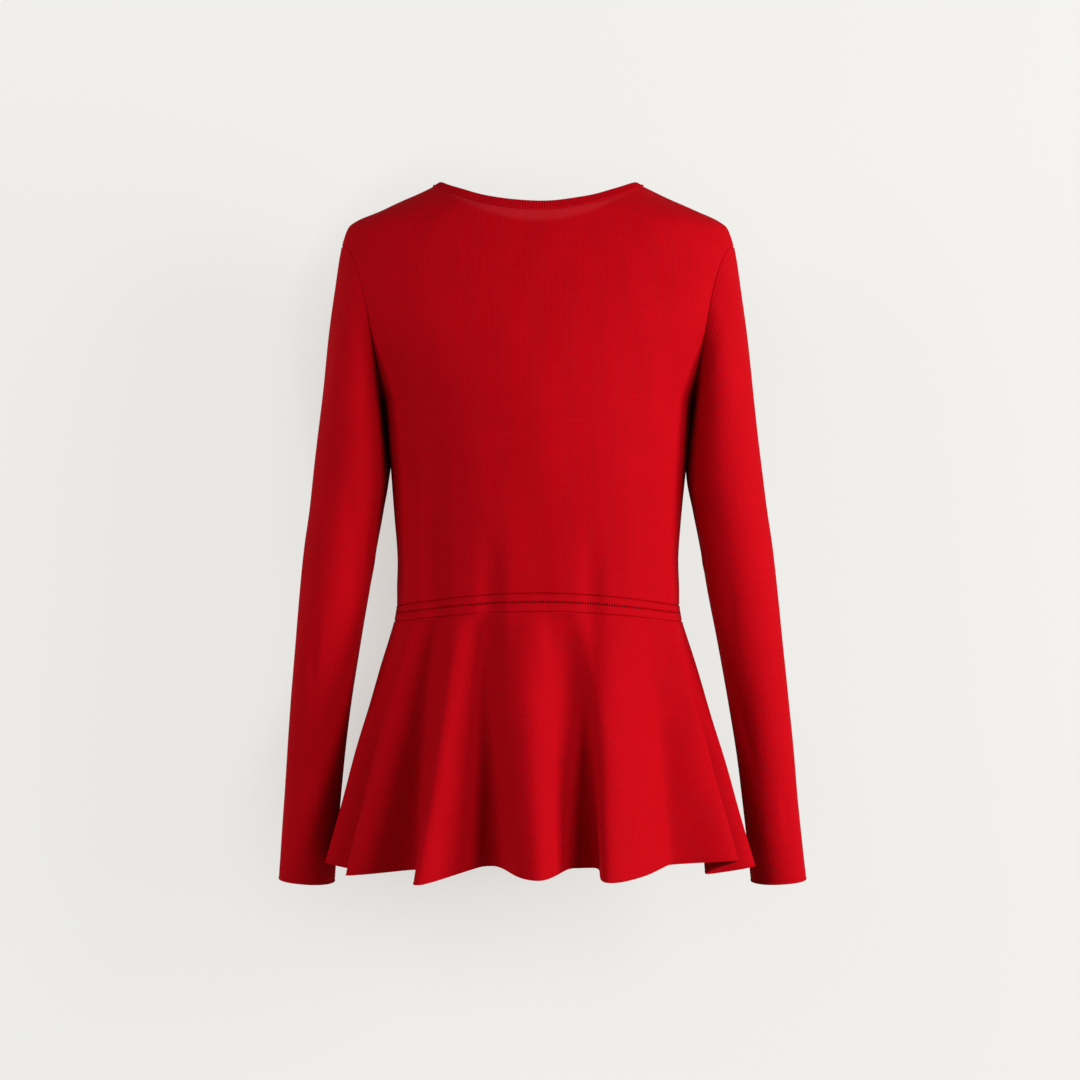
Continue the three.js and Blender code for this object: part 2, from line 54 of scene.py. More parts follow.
print("solids to dress:", ", ".join(sorted(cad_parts)))

# %% [markdown]
# ## Camera first
# The photographed back is seen almost level, from about three and a half metres, through a long
# lens. A long lens keeps the sleeves parallel, so it is set before anything else is judged.

# %% Camera
CAMERA_PLACE = (0.0018, -3.4988, -0.2374)
CAMERA_AIM = (0.0018, 0.0, -0.329)
LENS_MM = 126.8
SENSOR_MM = 36
CLIP_END = 50
bpy.ops.object.camera_add(location=CAMERA_PLACE)
camera = bpy.context.object
camera.name = "camera"
camera.data.lens = LENS_MM
camera.data.sensor_width = SENSOR_MM
camera.data.clip_end = CLIP_END
downward = math.atan2(CAMERA_PLACE[2] - CAMERA_AIM[2], -CAMERA_PLACE[1])
camera.rotation_euler = (math.pi / 2 - downward, 0, 0)
bpy.context.scene.camera = camera
print("camera looks down by", round(math.degrees(downward), 2), "degrees")

# %% [markdown]
# ## The sizes of the garment
# A pattern cutter works from a short list of girths and depths. The same list drives the cloth
# here: rings round the waist and the neck, level sections of the body, sections down the sleeve,
# and the flutes round the hem. A helper gives the columns of each table a name.


# %% Tables and curves
def table(names, rows):
    """Name the columns of a short table of sizes."""
    return dict(zip(names.split(), np.array(rows, dtype=float).T))


def smoothstep(value, start, end):
    share = np.clip((np.asarray(value, dtype=float) - start) / (end - start), 0, 1)
    return share * share * (3 - 2 * share)


def curve(x, y):
    """A smooth curve through points, which never overshoots them."""
    order = np.argsort(x)
    x, y = np.asarray(x, float)[order], np.asarray(y, float)[order]
    slope = np.diff(y) / np.diff(x)
    before = np.append(slope[0], slope)
    after = np.append(slope, slope[-1])
    alike = before * after > 0
    tangent = np.where(alike, 2 * before * after / np.where(alike, before + after, 1), 0)

    def at(value):
        value = np.clip(value, x[0], x[-1])
        i = np.clip(np.searchsorted(x, value, side="right") - 1, 0, len(x) - 2)
        span = x[i + 1] - x[i]
        t = (value - x[i]) / span
        bend = span * t * (1 - t) * ((1 - t) * tangent[i] - t * tangent[i + 1])
        return y[i] + (y[i + 1] - y[i]) * t * t * (3 - 2 * t) + bend

    return at


def softened(line, reach):
    """The same curve with its bends worn round, as a mean over the levels within reach."""
    shares = np.linspace(-0.9, 0.9, 9)
    weights = 1 + np.cos(np.pi * shares)

    def at(value):
        value = np.asarray(value, dtype=float)
        spread = reach(value)
        total = sum(w * line(value + s * spread) for s, w in zip(shares, weights))
        return total / weights.sum()

    return at


# %% Body sizes
WAIST_TOP = dict(half_width=130, back=78, front=92, side_z=-389, back_rise=14, front_rise=-3)
WAIST_LOW = dict(half_width=132.5, back=81, front=95, side_z=-403.4, back_rise=12.3, front_rise=-5)
NECK_SEAM = dict(half_width=97, side_z=-5, back_rise=-23.6, front_rise=-90)
NECK_EDGE = dict(half_width=88.6, back=57, front=77, side_z=-0.3, back_rise=-19.9, front_rise=-85.2)
BODY = table("z half_width back front", [
    (-392, 130, 78, 92),
    (-374, 130, 78, 92),
    (-350, 129, 79.5, 95),
    (-311, 131.3, 82.5, 101),
    (-275, 134.4, 86.5, 108),
    (-240, 138, 90.5, 114),
    (-215, 140.2, 92.5, 116),
    (-200, 141.5, 93.3, 115),
    (-187, 147.5, 94, 113),
    (-171, 154.5, 94.3, 109.5),
    (-152, 165, 94.2, 104),
    (-130, 175.5, 93, 97),
    (-105, 182, 89, 85.5),
    (-80, 182.5, 82, 75),
    (-60, 180, 75.5, 66.5),
    (-50, 177, 71.5, 61.4),
    (-42.5, 173.5, 68, 57.8),
    (-36.5, 165.5, 65.3, 54.3),
    (-25.5, 142, 60.2, 48),
    (-15, 118, 52.1, 42),
    (-5, 97, 45, 36),
])
SHOULDER = table("along z", [
    (0, -60), (0.17, -43.5), (0.33, -34), (0.5, -26.5), (0.67, -19.2), (0.83, -12.1), (1, -5),
])
ARMPIT_Z = -200
SLEEVE_TOP_Z = -60
ARMHOLE_WIDTH_POWER = 1.8
ARMHOLE_REACH = 3
NECK_SHARE = 0.6


def body_reach(z):
    """How far the levels of the body are averaged: not near the waist seam or the shoulders."""
    return 16 * smoothstep(z, -385, -355) * (1 - smoothstep(z, -150, -75)) + 0.5


half_width_at = softened(curve(BODY["z"], BODY["half_width"]), body_reach)
shoulder_z = curve(SHOULDER["along"], SHOULDER["z"])


def wide_reach(z):
    return 2 * body_reach(z)


def face_of_body(name, side, chest_dip, scoop):
    """What the back or the front panel needs to know of the body."""
    return dict(side=side, chest_dip=chest_dip, scoop=scoop, waist_rise=WAIST_TOP[name + "_rise"],
                neck_rise=NECK_SEAM[name + "_rise"],
                depth=softened(curve(BODY["z"], BODY[name]), wide_reach))


BACK = face_of_body("back", side=-1, chest_dip=5, scoop=0)
FRONT = face_of_body("front", side=1, chest_dip=15, scoop=6)
waist_round = np.pi * (WAIST_TOP["half_width"] + (WAIST_TOP["back"] + WAIST_TOP["front"]) / 2)
print("waist seam round:", round(waist_round), "mm")

# %% [markdown]
# ## Soft troughs in the back
# A knit top that is a little long in the back breaks into upright troughs above the waistband.
# They are pressed into the surface as cosine dips that fade upwards. A simulation would also
# make folds, but not these ones in these places, so their places are listed.

# %% Troughs of the back and of the front
TROUGHS = table("x half_width depth top_z side", [
    (-93, 18, 6.2, -200, -1),
    (-42, 16, 3.2, -300, -1),
    (49, 16, 3.8, -300, -1),
    (-124, 12, 2, -310, -1),
])
SOFT_TROUGHS = table("x half_width depth top_z side", [
    (97, 15, 0.9, -300, -1),
    (6, 12, 0.5, -325, -1),
    (-70, 15, 1.2, -280, 1),
    (22, 13, 0.8, -310, 1),
    (84, 16, 1.3, -270, 1),
])
TROUGH_FULL_Z = -380


def trough_depth(x, y, z, troughs):
    total = np.zeros(np.broadcast(x, y, z).shape)
    for middle, half, depth, top_z, side in zip(*troughs.values()):
        across = np.clip(np.abs(x - middle) / half, 0, 1)
        up = 1 - smoothstep(z, TROUGH_FULL_Z, top_z)
        there = y * side > 0
        total = total + there * depth * up * 0.5 * (1 + np.cos(np.pi * across))
    return total


def troughs_at(x, y, z):
    return trough_depth(x, y, z, TROUGHS) + trough_depth(x, y, z, SOFT_TROUGHS)


def press_in(x, y, z, half_width, depth, distance):
    """Move points of an oval section straight in by a distance."""
    out_x, out_y = x / half_width**2, y / depth**2
    length = np.hypot(out_x, out_y) + 1e-12
    return np.stack([x - distance * out_x / length, y - distance * out_y / length, z + 0 * x], -1)


# %% [markdown]
# ## The bodice panels
# Each panel is a surface over the garment's outline: a grid of columns across and rows upward,
# which runs from the waist seam past the armpits to the shoulder and neck seams. Rows are closer
# together near a seam, where the cloth rolls in.


# %% Panel surfaces
def on_body(face, x, z):
    half_width = half_width_at(z)
    depth = face["depth"](z)
    y = face["side"] * depth * np.sqrt(np.clip(1 - (x / half_width) ** 2, 0, 1))
    distance = troughs_at(x, y, z)
    return press_in(x, y, z, half_width, depth, distance)


def upper_edge(face, across):
    """The shoulder and neck seams in the front view, from the centre 0 to the sleeve 1."""
    z_shoulder = shoulder_z((1 - across) / (1 - NECK_SHARE))
    turn = np.clip(across / NECK_SHARE, 0, 1) * math.pi / 2
    on_shoulder = across > NECK_SHARE
    x = np.where(on_shoulder, half_width_at(z_shoulder), NECK_SEAM["half_width"] * np.sin(turn))
    z = np.where(on_shoulder, z_shoulder, NECK_SEAM["side_z"] + face["neck_rise"] * np.cos(turn) ** 2)
    return x, z


def side_points(face, across, up):
    turn = across * math.pi / 2
    level = np.cos(turn) ** 2
    waist = WAIST_TOP["side_z"] + face["waist_rise"] * level
    chest = ARMPIT_Z - face["chest_dip"] * level
    z = waist + (chest - waist) * up
    return on_body(face, -face["side"] * half_width_at(z) * np.sin(turn), z)


def upper_points(face, across, up):
    turn = across * math.pi / 2
    rise = np.sin(up * math.pi / 2) ** 2
    level = ARMPIT_Z - face["chest_dip"] * np.cos(turn) ** 2
    upper_x, upper_z = upper_edge(face, np.abs(across))
    armpit_x, top_x = half_width_at(ARMPIT_Z), half_width_at(SLEEVE_TOP_Z)
    armhole = armpit_x + (top_x - armpit_x) * up**ARMHOLE_WIDTH_POWER - face["scoop"] * np.sin(np.pi * up)
    scoop = armhole - (armpit_x + (top_x - armpit_x) * rise)
    level_x = np.abs(half_width_at(level) * np.sin(turn))
    half_x = level_x + (upper_x - level_x) * rise + scoop * np.abs(across) ** ARMHOLE_REACH
    return on_body(face, -face["side"] * np.sign(across) * half_x, level + (upper_z - level) * rise)


SEAM_STEPS = np.array([0.25, 0.55, 0.95, 1.4, 2.0, 2.8])
CLEAR_OF_SEAM = 1.4


def steps_with_seams(count, length, end=True):
    """Even steps from 0 to 1, with closer ones at the ends where a seam rolls in."""
    even = np.linspace(0, 1, count + 1)
    fine = SEAM_STEPS / length
    clear = CLEAR_OF_SEAM * fine[-1]
    keep = (even >= clear) & (even <= 1 - end * clear)
    parts = [even[keep], np.append(0, fine)]
    if end:
        parts.append(np.append(1, 1 - fine))
    return np.unique(np.concatenate(parts).round(9))


PANEL_ACROSS = 2 * steps_with_seams(count=152, length=280) - 1
SIDE_UP = steps_with_seams(count=70, length=190, end=False)
ARMHOLE_UP = np.linspace(0, 1, 85)


def panel_grid(face):
    lower = side_points(face, PANEL_ACROSS[None, :], SIDE_UP[:, None])
    upper = upper_points(face, PANEL_ACROSS[None, :], ARMHOLE_UP[1:, None])
    return np.concatenate([lower, upper])


grids = {"bodice_back": panel_grid(BACK), "bodice_front": panel_grid(FRONT)}
print("bodice_back grid:", grids["bodice_back"].shape[:2], "points")

# %% [markdown]
# ## The sleeves
# A set-in sleeve starts with the shape of the armhole and turns into a plain oval further down.
# The difference between the armhole's loop and an oval is kept, and let out over the first
# sections. The tube opens along the underarm seam, as the flat cut does, so its columns start there.

# %% Sleeve surfaces
SLEEVE = table("outer_x outer_z inner_x inner_z half_depth mid_y armhole", [
    (180, -60, 141.5, -200, 50, 3, 1),
    (183, -75, 141.8, -208, 51.5, 3, 0.6),
    (187.2, -104, 141, -219, 52, 2, 0.25),
    (192, -140, 139.9, -232, 51, 1, 0.08),
    (198.5, -200, 138.4, -250, 49.5, 0, 0),
    (205, -256, 137.4, -272, 47, 0, 0),
    (210, -300, 142.4, -302, 44.5, 0, 0),
    (215, -335, 148.4, -335, 42, 0, 0),
    (219.5, -375, 154.8, -372, 39.5, 0, 0),
    (223.8, -415, 162.2, -411, 37, 0.5, 0),
    (227.8, -455, 168.8, -450, 35, 2, 0),
    (231.4, -495, 175.2, -490, 33, 6, 0),
    (234.9, -535, 181, -530, 31.5, 11, 0),
    (238.3, -575, 186, -571, 30, 17, 0),
    (242.2, -613, 190.2, -612, 28.7, 24, 0),
    (245.8, -644, 193.3, -647, 28, 29.5, 0),
])
CUFF_TILT = math.radians(4)
TILT_FROM_Z = -400
SWAY = dict(shift=4.5, from_z=-230, at_z=-645)
TUCK = dict(depth=3.2, y=15, half_depth=10, from_x=165, full_x=150,
            top_z=-201, full_z=-209, low_z=-258, end_z=-284)
EDGE_STEPS = np.array([0.4, 0.8, 1.2, 1.7, 2.3, 3.0])
EDGE_BAND = 4
SLEEVE_ROWS = 181


def oval_points(size, angle):
    mid_x = (size["outer_x"] + size["inner_x"]) / 2
    mid_z = (size["outer_z"] + size["inner_z"]) / 2
    tilt = CUFF_TILT * smoothstep(-mid_z, -TILT_FROM_Z, -SWAY["at_z"])
    across = np.cos(angle) / 2
    forward = size["half_depth"] * np.sin(angle)
    return np.stack([
        mid_x + (size["outer_x"] - size["inner_x"]) * across,
        size["mid_y"] + forward * np.cos(tilt),
        mid_z + (size["outer_z"] - size["inner_z"]) * across + forward * np.sin(tilt),
    ], -1)


def armhole_loop():
    """The wearer's right armhole, from the armpit over the back to the top, and down the front."""
    back = upper_points(BACK, np.ones_like(ARMHOLE_UP), ARMHOLE_UP)
    front = upper_points(FRONT, -np.ones_like(ARMHOLE_UP), ARMHOLE_UP[::-1])
    return np.concatenate([back, front[1:]])


SLEEVE_ANGLE = np.pi * np.concatenate([1 + ARMHOLE_UP, 3 - ARMHOLE_UP[::-1][1:]])


def tucked_in(points):
    """The sleeve lies against the front of the body's side, so no light passes between them."""
    x, y, z = points[..., 0], points[..., 1], points[..., 2]
    near_body = smoothstep(-x, -TUCK["from_x"], -TUCK["full_x"])
    begun = smoothstep(-z, -TUCK["top_z"], -TUCK["full_z"])
    ended = smoothstep(-z, -TUCK["low_z"], -TUCK["end_z"])
    forward = np.exp(-(((y - TUCK["y"]) / TUCK["half_depth"]) ** 2))
    return TUCK["depth"] * (begun * (1 - ended)) * near_body * forward


def sleeve_grid(side):
    top = {name: column[0] for name, column in SLEEVE.items()}
    own = armhole_loop() - oval_points(top, SLEEVE_ANGLE)
    middle = np.hypot(np.diff(SLEEVE["outer_x"]), np.diff((SLEEVE["outer_z"] + SLEEVE["inner_z"]) / 2))
    down = np.append(0, np.cumsum(middle))
    at_rows = down[-1] * (1 - np.linspace(0, 1, SLEEVE_ROWS))
    at_rows = at_rows[at_rows < down[-1] - EDGE_BAND]
    at_rows = np.concatenate([[down[-1]], down[-1] - EDGE_STEPS, at_rows])
    at_rows = np.concatenate([at_rows[at_rows > EDGE_BAND], SEAM_STEPS[::-1], [0]])
    sizes = {name: curve(down, column)(at_rows)[:, None] for name, column in SLEEVE.items()}
    points = oval_points(sizes, SLEEVE_ANGLE[None, :]) + own[None] * sizes["armhole"][..., None]
    points[:-1, :, 0] -= tucked_in(points[:-1])
    points[..., 0] *= side
    share = np.clip((points[..., 2] - SWAY["from_z"]) / (SWAY["at_z"] - SWAY["from_z"]), 0, None)
    points[:-1, :, 0] += SWAY["shift"] * share[:-1] ** 2
    return points if side > 0 else points[:, ::-1]


grids["sleeve_right"] = sleeve_grid(1)
grids["sleeve_left"] = sleeve_grid(-1)
print("sleeve grid:", grids["sleeve_right"].shape[:2], "points")

# %% [markdown]
# ## The waistband and its eyelets
# The band is a narrow strip between two seams. Along its middle the knitting machine moves every
# other stitch over, which leaves a row of small upright holes. They are real holes here: the grid
# has fine columns where each eyelet goes, and the faces inside it are taken out.

# %% Waistband surface
EYELET_PITCH = 2.4
EYELET_COLUMNS = np.array([-0.58, -0.26, 0.26, 0.58, 1.0, 1.4])
EYELET_HEIGHTS = np.array([-1.2, -0.65, 0.65, 1.2])
EYELET_LEVEL = 8.2
EYELET_START = 0.5
EYELET_CORNER = dict(aside=0.17, upward=0.26)
EYELET_LEAN = dict(slope=0.28, reach=1.3)
LEVELS_BELOW, LEVELS_ABOVE = [4.4, 6.0], [10.6, 12.0]
SEAM_OVERLAP = 0.2
BAND_HEIGHT = 15.5
WAIST_ROUND = 672
eyelet_count = int(WAIST_ROUND / EYELET_PITCH)


def ring_points(ring, angle):
    back = np.cos(angle) > 0
    depth = np.where(back, ring["back"], ring["front"])
    rise = np.where(back, ring["back_rise"], ring["front_rise"])
    return np.stack([
        ring["half_width"] * np.sin(angle),
        -depth * np.cos(angle),
        ring["side_z"] + rise * np.cos(angle) ** 2,
    ], -1)


def waist_points(angle, share):
    low, top = ring_points(WAIST_LOW, angle), ring_points(WAIST_TOP, angle)
    point = low + (top - low) * share[..., None]
    half_width = WAIST_LOW["half_width"] + (WAIST_TOP["half_width"] - WAIST_LOW["half_width"]) * share
    front = (WAIST_LOW["front"] + WAIST_TOP["front"]) / 2
    back = (WAIST_LOW["back"] + WAIST_TOP["back"]) / 2
    depth = np.where(point[..., 1] > 0, front, back)
    x, y, z = point[..., 0], point[..., 1], point[..., 2]
    distance = troughs_at(x, y, z)
    return press_in(x, y, z, half_width, depth, distance)


def waistband_grid():
    dense = np.linspace(-0.5 * np.pi, 1.5 * np.pi, 4001)
    ring = waist_points(dense, np.full_like(dense, 0.5))
    walked = np.append(0, np.cumsum(np.linalg.norm(np.diff(ring, axis=0), axis=1)))
    pitch = walked[-1] / eyelet_count
    starts = np.arange(eyelet_count)[:, None] * pitch + EYELET_START
    places = (starts + EYELET_COLUMNS * pitch / EYELET_PITCH).ravel()
    places = np.append(places, places[0] + walked[-1])
    heights = np.concatenate([
        [-SEAM_OVERLAP], SEAM_STEPS, LEVELS_BELOW, EYELET_LEVEL + EYELET_HEIGHTS, LEVELS_ABOVE,
        BAND_HEIGHT - SEAM_STEPS[::-1], [BAND_HEIGHT + SEAM_OVERLAP],
    ])
    slot_low = int(np.argmin(np.abs(heights - EYELET_LEVEL - EYELET_HEIGHTS[0])))
    along = np.broadcast_to(places, (len(heights), len(places))).copy()
    upward = np.broadcast_to(heights[:, None], along.shape).copy()
    corner = np.arange(len(places)) % len(EYELET_COLUMNS)
    for row, towards in ((slot_low + 1, -1), (slot_low + 2, 1)):
        for column, aside in ((1, -1), (2, 1)):
            picked = corner == column
            along[row, picked] += EYELET_CORNER["aside"] * aside
            upward[row, picked] += EYELET_CORNER["upward"] * towards
    above = upward - EYELET_LEVEL
    along += EYELET_LEAN["slope"] * (np.exp(-(above / EYELET_LEAN["reach"]) ** 2) * above)
    angle = np.interp(along % walked[-1], walked, dense)
    angle[:, -1] = angle[:, 0]
    return waist_points(angle, upward / BAND_HEIGHT), slot_low


grids["waistband"], slot_row = waistband_grid()
print("waistband:", eyelet_count, "eyelets,", grids["waistband"].shape[:2], "points")

# %% [markdown]
# ## The ribbed neckband
# The neckband is knitted in narrow upright ribs and doubled over, so its free edge is a rounded
# fold. Each rib is a raised half-wave in the mesh; a bump map alone would leave the outline smooth.

# %% Neckband surface
RIB_PITCH = 2.4
RIB_HEIGHT = 0.55
NECK_ROUND = 565
RIB_POINTS = 8
NECKBAND_ROWS = 7
NECKBAND_HEIGHT = 11
rib_count = int(NECK_ROUND / RIB_PITCH)


def neckband_grid():
    share = np.linspace(0, 1, rib_count * RIB_POINTS + 1)
    around = 4 * share - 1
    towards_back = around < 1
    across = np.where(towards_back, around, around - 2)
    seam = np.where(
        towards_back[:, None],
        upper_points(BACK, across * NECK_SHARE, np.ones_like(across)),
        upper_points(FRONT, across * NECK_SHARE, np.ones_like(across)),
    )
    edge = ring_points(NECK_EDGE, around * np.pi / 2)
    up = steps_with_seams(NECKBAND_ROWS, NECKBAND_HEIGHT)[:, None, None]
    grid = seam[None] + (edge - seam)[None] * up
    grid[:, -1] = grid[:, 0]
    return grid


grids["neckband"] = neckband_grid()
print("neckband:", rib_count, "ribs,", grids["neckband"].shape[:2], "points")

# %% [markdown]
# ## The peplum
# The peplum is cut as a flare: much longer round its hem than round the waist. The spare length
# hangs in upright flutes that grow from nothing at the waistband. Each flute has its own place,
# depth and lean, measured on the side that shows, and chosen to match on the side that doesn't.

# %% Peplum surfaces
HEM = dict(half_width=160, back=112, front=126)
HEM_LEVELS = table("degrees z", [
    (-87, -625), (-73, -633), (-61, -627), (-41, -625.5), (-15, -619.5), (15, -619.8), (50, -621.5),
    (63, -619), (75, -634), (86, -627), (100, -632), (180, -634), (259, -632),
])
FLUTES = table("start crest end waist_crest depth lean drop", [
    (-73, -61, -48, -61, 33, -12, 4),
    (-41, -25, -19, -28, 42, -26, 11),
    (-15.5, 0, 11.5, -6, 35, 0, 7),
    (18, 33, 50, 27.5, 38, -42, 8),
    (50, 63, 74, 66, 34, 22, 0),
    (74, 86, 100, 88, 40, -4, 1),
    (100, 117, 134, 117, 38, 6, 3),
    (134, 150, 165, 150, 40, -8, 5),
    (165, 181, 197, 181, 36, 4, 5),
    (197, 212, 227, 212, 42, 9, 5),
    (227, 243, 259, 243, 37, -5, 3),
    (259, 273, 287, 272, 36, 4, 0),
])
VALLEYS = table("waist_middle hem_middle reach early_depth hem_depth", [
    (-49.5, -46.5, 12, 9, 14), (-20, -16.5, 12, 9, 16), (14.5, 17.5, 11, 8, 3), (54, 54, 13, 3, 9),
])
EARLY_VALLEY = 0.07
EARLY_FLARE = 0.15
TROUGH_END_IN_PEPLUM = 0.4
PEPLUM_ROWS = 80
PEPLUM_LENGTH = 222
WAIST_WEIGHT = 0.5


def round_and_round(degrees, values):
    turns = np.array([-360, 0, 360])[:, None]
    return curve((degrees + turns).ravel(), (values + 0 * turns).ravel())


hem_level = round_and_round(HEM_LEVELS["degrees"], HEM_LEVELS["z"])
waist_shift = round_and_round(FLUTES["crest"], FLUTES["waist_crest"] - FLUTES["crest"])


def peplum_points(degrees, share):
    down = 1 - share
    angle = np.radians(degrees)
    depth = np.where(np.cos(angle) > 0, HEM["back"], HEM["front"])
    hem = np.stack([HEM["half_width"] * np.sin(angle), -depth * np.cos(angle), hem_level(degrees)], -1)
    along = np.stack([HEM["half_width"] * np.cos(angle), depth * np.sin(angle), 0 * angle], -1)
    along = along / np.linalg.norm(along, axis=-1, keepdims=True)
    out = np.stack([along[..., 1], -along[..., 0], along[..., 2]], -1)
    waist_angle = np.radians(degrees + waist_shift(degrees))
    ring = ring_points(WAIST_LOW, waist_angle)
    x, y, z = ring[..., 0], ring[..., 1], ring[..., 2]
    distance = troughs_at(x, y, z)
    fade = 1 - smoothstep(down, 0, TROUGH_END_IN_PEPLUM)
    ring_depth = np.where(y > 0, WAIST_LOW["front"], WAIST_LOW["back"])
    waist = press_in(x, y, z, WAIST_LOW["half_width"], ring_depth, distance * fade)
    flare = (down * (1 + EARLY_FLARE * share))[..., None]
    point = waist + (hem - waist) * flare
    point[..., 2] = waist[..., 2] + (hem[..., 2] - waist[..., 2]) * down
    for start, crest, end, _, flute_depth, lean, drop in zip(*FLUTES.values()):
        turned = degrees - 360 * np.floor((degrees - start) / 360)
        rise, fall = (turned - start) / (crest - start), (end - turned) / (end - crest)
        climb = np.where(turned < crest, rise, fall)
        standing = 0.5 * (1 - np.cos(np.pi * np.clip(climb, 0, 1))) * down * (turned < end)
        point = point + (flute_depth * out + lean * along) * standing[..., None]
        point[..., 2] -= drop * standing
    for waist_middle, hem_middle, reach, early_depth, hem_depth in zip(*VALLEYS.values()):
        middle = waist_middle + (hem_middle - waist_middle) * down
        near = np.clip(np.abs(degrees - middle) / reach, 0, 1)
        depth = early_depth * (1 - np.exp(-down / EARLY_VALLEY)) + (hem_depth - early_depth) * down
        point = point - out * (0.5 * (1 + np.cos(np.pi * near)) * depth)[..., None]
    return point


def peplum_grid(from_degrees, columns):
    dense = from_degrees + np.linspace(0, 180, 2881)
    hem = peplum_points(dense, np.zeros_like(dense))
    waist = peplum_points(dense, np.ones_like(dense))
    hem_step, waist_step = (np.linalg.norm(np.diff(ring, axis=0), axis=1) for ring in (hem, waist))
    walked = np.append(0, np.cumsum(hem_step + WAIST_WEIGHT * waist_step))
    shares = steps_with_seams(columns, walked[-1])
    degrees = np.interp(shares * walked[-1], walked, dense)
    share = np.linspace(0, 1, PEPLUM_ROWS)
    share = share[(share * PEPLUM_LENGTH > EDGE_BAND) & ((1 - share) * PEPLUM_LENGTH > EDGE_BAND)]
    at_edge, at_seam = EDGE_STEPS / PEPLUM_LENGTH, 1 - SEAM_STEPS[::-1] / PEPLUM_LENGTH
    share = np.concatenate([[0], at_edge, share, at_seam, [1]])
    return peplum_points(*np.broadcast_arrays(degrees, share[:, None]))


grids["peplum_back"] = peplum_grid(-90, 300)
grids["peplum_front"] = peplum_grid(90, 270)
print("peplum_back grid:", grids["peplum_back"].shape[:2], "points")


# %% [markdown]
# ## Directions, seams and small unevenness
# Where two pieces are sewn, their edges roll in together and leave a fine groove. Both have to
# roll the same way, so the directions of all the pieces that meet at a point are averaged. Knit
# cloth is never quite even either: a small waviness, longer along the wales than across them,
# catches the light as real cloth does.


# %% Cloth directions and lengths
def cloth_directions(grid):
    across = np.gradient(grid, axis=1)
    closed = np.allclose(grid[:, 0], grid[:, -1], atol=1e-6)
    if closed:
        across[:, 0] = across[:, -1] = grid[:, 1] - grid[:, -2]
    up = np.gradient(grid, axis=0)
    out = np.cross(across, up)
    return out / (np.linalg.norm(out, axis=-1, keepdims=True) + 1e-12)


def walked_along(grid, axis):
    """Distance walked over the cloth from the first row (axis 0) or the first column (axis 1)."""
    step = np.linalg.norm(np.diff(grid, axis=axis), axis=2)
    start = np.zeros_like(step[:1] if axis == 0 else step[:, :1])
    return np.concatenate([start, np.cumsum(step, axis=axis)], axis=axis)


def edge_distance(grid, edge):
    walked = walked_along(grid, 0 if edge in ("bottom", "top") else 1)
    if edge == "top":
        return walked[-1:] - walked
    if edge == "last":
        return walked[:, -1:] - walked
    return walked


def rim_of(grid):
    rim = np.zeros(grid.shape[:2], bool)
    rim[0], rim[-1], rim[:, 0], rim[:, -1] = True, True, True, True
    return np.nonzero(rim)


directions = {name: cloth_directions(grid) for name, grid in grids.items()}
rims = {name: rim_of(grid) for name, grid in grids.items()}
rim_directions = {name: directions[name][rims[name]] for name in grids}
trees = {name: KDTree(len(rims[name][0])) for name in grids}
for name, tree in trees.items():
    for number, point in enumerate(grids[name][rims[name]]):
        tree.insert(point, number)
    tree.balance()

# %% One direction for all the pieces that meet
MEET_WITHIN = 1.5
meetings = 0
seam_directions = {}
for name, grid in grids.items():
    shared = directions[name].copy()
    for row, column in zip(*rims[name]):
        total = directions[name][row, column].copy()
        for other in grids:
            _, number, away = trees[other].find(grid[row, column])
            if other != name and away < MEET_WITHIN:
                total += rim_directions[other][number]
                meetings += 1
        shared[row, column] = total / np.linalg.norm(total)
    seam_directions[name] = shared
print("points where pieces meet:", meetings)

# %% Rolled seams, welts and edges
SEAMS = {
    "bodice_back": dict(bottom=1.5, top=1.0, first=0.85, last=0.85),
    "bodice_front": dict(bottom=1.5, top=1.0, first=0.85, last=0.85),
    "sleeve_right": dict(top=0.85),
    "sleeve_left": dict(top=0.85),
    "waistband": dict(bottom=1.5, top=1.5),
    "neckband": dict(bottom=1.0, top=1.3),
    "peplum_back": dict(top=1.5, first=0.7, last=0.7),
    "peplum_front": dict(top=1.5, first=0.7, last=0.7),
}
WELTS = {
    "waistband": ("top", 0.35), "peplum_back": ("top", 0.2), "peplum_front": ("top", 0.2),
    "bodice_back": ("bottom", 0.12), "bodice_front": ("bottom", 0.12),
}
WELT_PLACE = dict(middle=1.7, width=0.75)
SELF_FINISHED = ("sleeve_right", "sleeve_left", "peplum_back", "peplum_front")
FINISHED_EDGE = table("height middle width", [(0.28, 0.7, 0.7), (-0.3, 2.2, 0.5)])
UNEVEN = dict(seed=11, waves=9, height=0.13, lengths=((38, 90), (38, 90), (120, 320)))


def bulge(away, middle, width):
    """A rounded ridge of height 1 along a line that is some way from an edge."""
    return np.exp(-(((away - middle) / width) ** 2))


def roll_in(name, grid):
    moved = grid.copy()
    edges = {"bottom": np.s_[:1], "top": np.s_[-1:], "first": np.s_[:, :1], "last": np.s_[:, -1:]}
    for edge, radius in SEAMS[name].items():
        near = np.clip(edge_distance(grid, edge) / radius, 0, 1)
        depth = radius * (1 - np.sqrt(np.clip(1 - (1 - near) ** 2, 0, 1)))
        moved = moved - depth[..., None] * seam_directions[name][edges[edge]]
    return moved


def raise_edges(name, grid):
    """How far welts and self-finished edges stand out."""
    height = np.zeros(grid.shape[:2])
    if name in WELTS:
        edge, welt_height = WELTS[name]
        height += welt_height * bulge(edge_distance(grid, edge), **WELT_PLACE)
    if name in SELF_FINISHED:
        away = edge_distance(grid, "bottom")
        for edge_height, middle, width in zip(*FINISHED_EDGE.values()):
            height += edge_height * bulge(away, middle, width)
    return height


